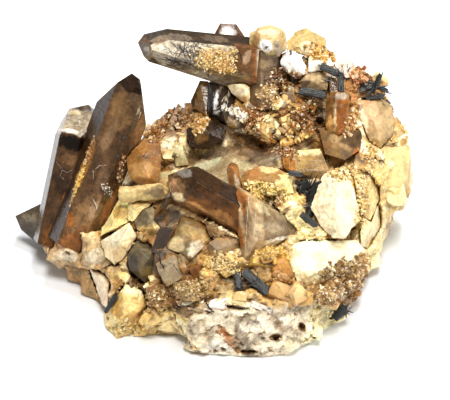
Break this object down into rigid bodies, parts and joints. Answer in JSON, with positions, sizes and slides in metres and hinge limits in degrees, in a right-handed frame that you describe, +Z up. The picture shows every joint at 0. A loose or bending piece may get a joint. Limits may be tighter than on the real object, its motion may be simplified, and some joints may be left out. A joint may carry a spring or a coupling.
{
  "type": "mineral specimen",
  "caption": "Hand-sized cluster of smoky quartz crystals with cream feldspar and black aegirine blades on drusy rock.",
  "frame": {"origin": "on the flat underside that the cluster rests on, near its middle", "axes": "+Z up from the surface it rests on, +X to the right of the display face, -Y towards the front, which the crystals face"},
  "size_m": [0.1214, 0.0923, 0.066],
  "materials": {
    "rock": "rough, coated with fine drusy crystals and iron stain",
    "smoky_quartz": "glassy, see-through brown",
    "clear_quartz": "glassy, see-through, faintly smoky",
    "amber_quartz": "glassy, iron-stained",
    "grey_quartz": "greasy, cloudy grey",
    "cream_feldspar": "satin, with cleavage steps",
    "golden_feldspar": "satin, iron-stained",
    "aegirine": "black, striated along its length, vitreous"
  },
  "bodies": {
    "root": {"matrix": "rock", "smoky_quartz_left": "smoky_quartz", "smoky_quartz_tall": "smoky_quartz", "smoky_quartz_column": "grey_quartz", "smoky_quartz_top": "clear_quartz", "smoky_quartz_back": "smoky_quartz", "smoky_quartz_shining": "smoky_quartz", "smoky_quartz_amber": "amber_quartz", "smoky_quartz_low": "smoky_quartz", "golden_quartz": "amber_quartz", "smoky_quartz_middle": "smoky_quartz", "quartz_point_middle": "clear_quartz", "orange_quartz_small": "amber_quartz", "smoky_quartz_upper": "smoky_quartz", "smoky_quartz_stub": "smoky_quartz", "orange_quartz_upper": "amber_quartz", "striated_quartz": "clear_quartz", "grey_quartz_upper": "grey_quartz", "grey_quartz_knob_upper": "grey_quartz", "grey_quartz_knob_lower": "grey_quartz", "smoky_quartz_wing": "grey_quartz", "grey_quartz_right_edge": "grey_quartz", "aegirine_bar": "aegirine", "aegirine_arc_upper": "aegirine", "aegirine_arc_lower": "aegirine", "aegirine_patch_left": "aegirine", "aegirine_patch_middle": "aegirine", "aegirine_patch_right": "aegirine", "aegirine_leaf": "aegirine", "aegirine_splinter": "aegirine", "aegirine_post": "aegirine", "aegirine_spray_tall": "aegirine", "aegirine_spray_left": "aegirine", "aegirine_spray_right": "aegirine", "aegirine_spray_low": "aegirine", "aegirine_front": "aegirine", "aegirine_front_side": "aegirine", "aegirine_lower_left": "aegirine", "aegirine_lower_right": "aegirine", "feldspar_large": "cream_feldspar", "feldspar_white": "cream_feldspar", "feldspar_upper_right": "cream_feldspar", "feldspar_front": "cream_feldspar", "feldspar_left_upper": "golden_feldspar", "feldspar_left_lower": "cream_feldspar", "feldspar_wedge": "golden_feldspar", "feldspar_finger": "golden_feldspar", "feldspar_shard": "cream_feldspar", "feldspar_lower_left": "golden_feldspar", "feldspar_dome": "cream_feldspar", "feldspar_crown": "cream_feldspar", "feldspar_spotted": "cream_feldspar", "feldspar_clear": "cream_feldspar", "feldspar_pink": "cream_feldspar", "feldspar_peach": "golden_feldspar", "feldspar_right": "cream_feldspar", "feldspar_right_inner": "golden_feldspar", "feldspar_right_lower": "cream_feldspar", "feldspar_left_brown": "golden_feldspar"}
  },
  "joints": []
}
